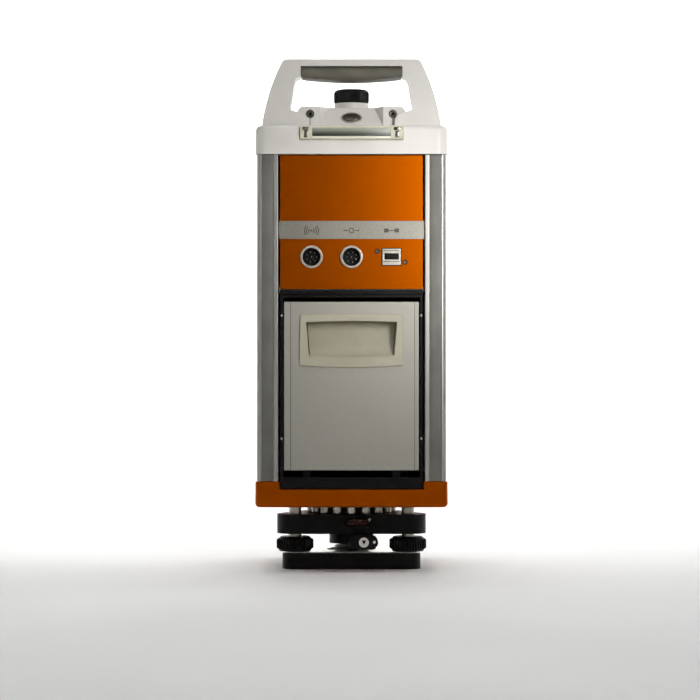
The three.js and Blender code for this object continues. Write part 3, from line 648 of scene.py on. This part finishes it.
def button_rim():
    """A dark oval gasket between the push-button and its ring, in the plane of the sloping floor."""
    low, high = in_mm("button_ring")
    joint = next(j for j in frame["joints"] if j["name"] == "power_button_press")
    outward = -Vector(joint["axis"])
    half_width, half_height, above_ring_centre = 8.75, 5.25, 2.0
    shape = bmesh.new()
    rings = []
    for grow, height in ((-0.15, 0), (0.15, 0), (0.15, 0.5), (-0.15, 0.5)):
        rings.append([
            shape.verts.new(
                ((half_width + grow) * math.cos(angle), (half_height + grow) * math.sin(angle), height)
            )
            for angle in around(56)
        ])
    join_rings(shape, rings + rings[:1])
    tilt = Matrix.Rotation(math.atan2(-outward.y, outward.z), 4, "X")
    seat = (low + high) / 2 + outward * above_ring_centre
    bmesh.ops.transform(shape, matrix=Matrix.Translation((0, seat.y, seat.z)) @ tilt, verts=shape.verts)
    finish_piece("button_gasket", shape, DARK_SHADE_AND_PARTS, "head")


# ---- trim: battery ---------------------------------------------------------------------------------------
def battery_skin():
    """The front sheet of the battery case, cut out for the pull, with a seam along each side."""
    low, high = in_mm("battery_case")
    pull_low, pull_high = in_mm("battery_grip")
    proud, thickness = 0.22, 0.2
    x0, x1, z0, z1 = low.x + 7, high.x - 4.7, low.z + 0.4, high.z - 0.4
    cut_out = rectangle(pull_low.x + 3, pull_high.x - 3, pull_low.z + 6, pull_high.z - 3)
    shape = bmesh.new()
    outer = [shape.verts.new((x, low.y - proud, z)) for x, z in rectangle(x0, x1, z0, z1)]
    inner = [shape.verts.new((x, low.y - proud, z)) for x, z in cut_out]
    faces = []
    for i in range(4):
        j = (i + 1) % 4
        faces.append(shape.faces.new((outer[i], outer[j], inner[j], inner[i])))
    grown = bmesh.ops.extrude_face_region(shape, geom=faces)
    moved = [v for v in grown["geom"] if isinstance(v, bmesh.types.BMVert)]
    bmesh.ops.translate(shape, vec=(0, thickness, 0), verts=moved)
    finish_piece("battery_skin", shape, MATERIALS["bead_blasted"], "battery")
    seam_width = 0.4
    for side, x in (("left", x0 - 0.55), ("right", x1 + 0.15)):
        seam = slab((x, low.y - 0.06, z0), (x + seam_width, low.y + 0.1, z1), 0.03, 1)
        finish_piece(f"battery_seam_{side}", seam, DARK_SHADE_AND_PARTS, "battery")


def pull_lip():
    """A rounded lip along the bottom of the pull's mouth, bowed like the mouth."""
    low = in_mm("battery_grip")[0]
    steps, half, bow, thickness = 24, 41.5, 1.5, 0.9
    shape = bmesh.new()
    rings = []
    for i in range(steps + 1):
        x = -half + 2 * half * i / steps
        z = low.z + 11.3 - bow * (1 - (x / half) ** 2)
        rings.append([
            shape.verts.new((x, low.y + 0.25 - 0.75 * math.sin(angle), z + thickness * math.cos(angle)))
            for angle in around(10)
        ])
    join_rings(shape, rings)
    shape.faces.new(rings[0])
    shape.faces.new(rings[-1])
    finish_piece("battery_pull_lip", shape, MATERIALS["beige_plastic"], "battery")


def pull_scoop():
    """The floor of the pull: from the lip it curves back and up, so its top lies deep and in shadow."""
    low, high = in_mm("battery_grip")
    mouth_low, mouth_high = low.z + 11.4, high.z - 8.2
    tall = mouth_high - mouth_low
    half_low, half_high = 41.6, 44.4
    steps, start, depth, back = 10, 3.4, 17.2, 21
    profile = []
    for i in range(steps + 1):
        share = i / steps
        profile.append((low.y + start + depth * share ** 0.6, mouth_low + share * tall))
    profile += [(low.y + back, mouth_high), (low.y + back, mouth_low)]
    shape = bmesh.new()
    ends = []
    for sign in (-1, 1):
        ends.append([
            shape.verts.new((sign * (half_low + (half_high - half_low) * (z - mouth_low) / tall), y, z))
            for y, z in profile
        ])
    join_rings(shape, ends)
    for end in ends:
        shape.faces.new(end)
    finish_piece("battery_pull_scoop", shape, MATERIALS["beige_plastic"], "battery")


# ---- trim: tribrach --------------------------------------------------------------------------------------
def knurled_knobs():
    """Foot-screw knobs with a scalloped rim, a groove under it and a chamfered top."""
    bore, scallops, scallop_depth = 6.9, 40, 0.55
    for side in ("left", "right", "front"):
        low, high = in_mm(f"foot_screw_knob_{side}")
        radius = (high.x - low.x) / 2
        tall = high.z - low.z
        scalloped_from = radius - 1.2
        profile = [
            (bore, 0), (radius - 3.4, 0), (radius - 2.2, 1), (radius - 2.2, 2), (radius - 1.1, 2.8),
            (radius - 0.6, 3.6), (radius - 0.6, tall - 3.6), (radius - 1.1, tall - 2.8),
            (radius - 2.6, tall - 1.6), (radius - 4.4, tall), (bore, tall),
        ]

        def scallop(angle, at_radius):
            return scallop_depth * math.cos(scallops * angle) if at_radius > scalloped_from else 0

        shape = lathe(profile, 4 * scallops, scallop)
        centre = ((low.x + high.x) / 2, (low.y + high.y) / 2, low.z)
        bmesh.ops.translate(shape, vec=centre, verts=shape.verts)
        knob = finish_piece(
            f"knurled_knob_{side}", shape, MATERIALS["black_plastic"], f"foot_screw_{side}"
        )
        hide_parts(f"foot_screw_knob_{side}")


def adapter_ribs():
    """Round ribs on a dark band round the adapter, between the tribrach and the head; the band is painted shade in
    the gaps between the ribs.
    """
    radius, band_thickness = 38.4, 0.7
    low, high = in_mm("tribrach_body")[1].z + 0.5, in_mm("base_tray")[0].z - 0.7
    outer = radius + band_thickness
    # Painted shade: the near black band stands for the shade between the ribs.
    band = lathe([(radius, low), (outer, low), (outer, high), (radius, high)], 96)
    finish_piece("adapter_shade_band", band, DARK_SHADE_AND_PARTS, "tribrach")
    count, rib, bevel, sunk = 18, 4.8, 0.4, 1.2
    profile = [
        (0, low), (rib - bevel, low), (rib, low + bevel), (rib, high - bevel), (rib - bevel, high), (0, high),
    ]
    reach = radius + rib - sunk
    ribs = []
    for angle in around(count):
        shape = lathe(profile, 20)
        turned = angle + math.pi / count
        bmesh.ops.translate(
            shape, vec=(reach * math.cos(turned), reach * math.sin(turned), 0), verts=shape.verts
        )
        ribs.append(shape)
    finish_piece("adapter_ribs", merged(ribs), MATERIALS["steel"], "tribrach")


def level_bubble():
    """The bubble of the circular level, and the ring drawn on its glass."""
    low, high = in_mm("level_vial")
    centre = (low + high) / 2
    bubble = lathe([(0, 0), (1.8, 0.25), (2.4, 0.7), (1.8, 1.15), (0, 1.4)], 28)
    bmesh.ops.translate(bubble, vec=(centre.x + 0.4, centre.y - 0.3, high.z - 1.9), verts=bubble.verts)
    finish_piece("level_bubble", bubble, MATERIALS["white_mark"], "tribrach")
    ring = lathe([(3.3, 0), (3.6, 0), (3.6, 0.15), (3.3, 0.15)], 40)
    bmesh.ops.translate(ring, vec=(centre.x, centre.y, high.z - 0.25), verts=ring.verts)
    finish_piece("level_ring", ring, DARK_SHADE_AND_PARTS, "tribrach")


def lock_marks():
    """The arrow and the dot on the lock knob, and the index mark on the tribrach beside the level."""
    low, high = in_mm("lock_knob_mark")
    x, z = (low.x + high.x) / 2, (low.z + high.z) / 2
    arrow = plate([(x - 2.2, z + 2.2), (x, z - 2.4), (x + 2.2, z + 2.2)], low.y - 0.12, low.y + 0.05)
    finish_piece("lock_arrow", arrow, DARK_SHADE_AND_PARTS, "lock")
    wing_face = in_mm("lock_knob")[0].y
    dot = lathe([(0, 0), (1.5, 0), (1.5, 0.2), (1.2, 0.35), (0, 0.35)], 24)
    dot = placed(dot, "-y", (x + 10.6, wing_face, z + 0.4))
    finish_piece("lock_dot", dot, MATERIALS["white_mark"], "lock")
    index_top, index_tip, index_front, index_rear = 52.4, 48.6, -52.3, -51.9
    outline = [(x + 4, index_top), (x + 5.7, index_tip), (x + 7.4, index_top)]
    index = plate(outline, index_front, index_rear)
    finish_piece("lock_index", index, MATERIALS["white_mark"], "tribrach")


post_inlays()
casing_screws()
vent_shade_pads()
socket_pins()
usb_details()
legends()
roof_details()
status_light_details()
button_rim()
battery_skin()
pull_lip()
pull_scoop()
knurled_knobs()
adapter_ribs()
level_bubble()
lock_marks()


# ---- floor, light and camera -----------------------------------------------------------------------------
def studio_sweep():
    """A pale round floor that curves up into a wall, far enough out to stand behind any view."""
    floor, bend, top = 2.4, 0.9, 3.4
    bend_steps, segments = 12, 72
    shape = bmesh.new()
    profile = [(0, 0.0), (0.6 * floor, 0.0)]
    for i in range(bend_steps + 1):
        turn = math.pi / 2 * i / bend_steps
        profile.append((floor + bend * math.sin(turn), bend - bend * math.cos(turn)))
    profile.append((floor + bend, top))
    rings = []
    for radius, height in profile:
        rings.append([
            shape.verts.new((radius * math.cos(angle), radius * math.sin(angle), height))
            for angle in around(segments if radius else 1)
        ])
    join_rings(shape, rings)
    mesh = bpy.data.meshes.new("studio_sweep")
    shape.to_mesh(mesh)
    shape.free()
    mesh.shade_smooth()
    surface = Surface("sweep_paper", 0.9)
    surface.colour(surface.noise(400, 2.0), srgb(240, 240, 239), srgb(244, 244, 243))
    mesh.materials.append(surface.material)
    sweep = bpy.data.objects.new("studio_sweep", mesh)
    bpy.context.scene.collection.objects.link(sweep)


def softbox(name, place, target, size, power, spread):
    """A rectangular lamp at place that faces target and isn't seen by the camera."""
    light = bpy.data.lights.new(name, "AREA")
    light.shape = "RECTANGLE"
    light.size, light.size_y = size
    light.energy = power
    light.spread = math.radians(spread)
    lamp = bpy.data.objects.new(name, light)
    lamp.location = place
    lamp.rotation_euler = (Vector(target) - Vector(place)).to_track_quat("-Z", "Y").to_euler()
    lamp.visible_camera = False
    bpy.context.scene.collection.objects.link(lamp)


MIDDLE = (0, 0, 0.27)
# name, place, target, size, power in watts, spread in degrees
SOFTBOXES = [
    ("backdrop_wall", (0, 1.6, 2.6), (0, 3.3, 0.6), (2.4, 1.2), 80, 100),
    ("backdrop_floor", (0, 1.0, 2.6), (0, 1.5, 0), (2.0, 1.0), 20, 80),
    ("rim_left", (-1.5, 0.7, 0.8), MIDDLE, (0.5, 1.4), 1.4, 70),
    ("rim_right", (1.5, 0.7, 0.8), MIDDLE, (0.5, 1.4), 1.8, 70),
    ("top_front", (0, -0.55, 1.05), (0, -0.1, 0.36), (0.7, 0.3), 0.85, 180),
    ("side_front", (0.27, -0.62, 0.44), (0.06, -0.1, 0.36), (0.1, 0.3), 0.32, 50),
    ("roof", (0, 0.3, 1.9), MIDDLE, (1.4, 1.0), 1.2, 180),
    ("floor_front", (0, -0.9, 2.4), (0, -0.9, 0), (1.6, 0.8), 2.4, 60),
]


def studio_light():
    world = bpy.data.worlds.new("studio")
    world.use_nodes = True
    background = world.node_tree.nodes["Background"]
    background.inputs["Color"].default_value = (1, 1, 1, 1)
    background.inputs["Strength"].default_value = 0.05
    bpy.context.scene.world = world
    for row in SOFTBOXES:
        softbox(*row)


def camera():
    """Level, on the operator's side, through a long lens that frames 700 mm at the battery's front face."""
    battery_face = cad_box[0].y + 0.009
    distance, framed_width, sideways, height = 2.4, 0.7, -0.0015, 0.2245
    data = bpy.data.cameras.new("camera")
    data.sensor_width = 36
    data.lens = data.sensor_width * distance / framed_width
    view = bpy.data.objects.new("camera", data)
    view.location = (sideways, battery_face - distance, height)
    view.rotation_euler = (math.pi / 2, 0, 0)
    bpy.context.scene.collection.objects.link(view)
    bpy.context.scene.camera = view


studio_sweep()
studio_light()
camera()
bpy.context.scene.view_settings.view_transform = "Standard"
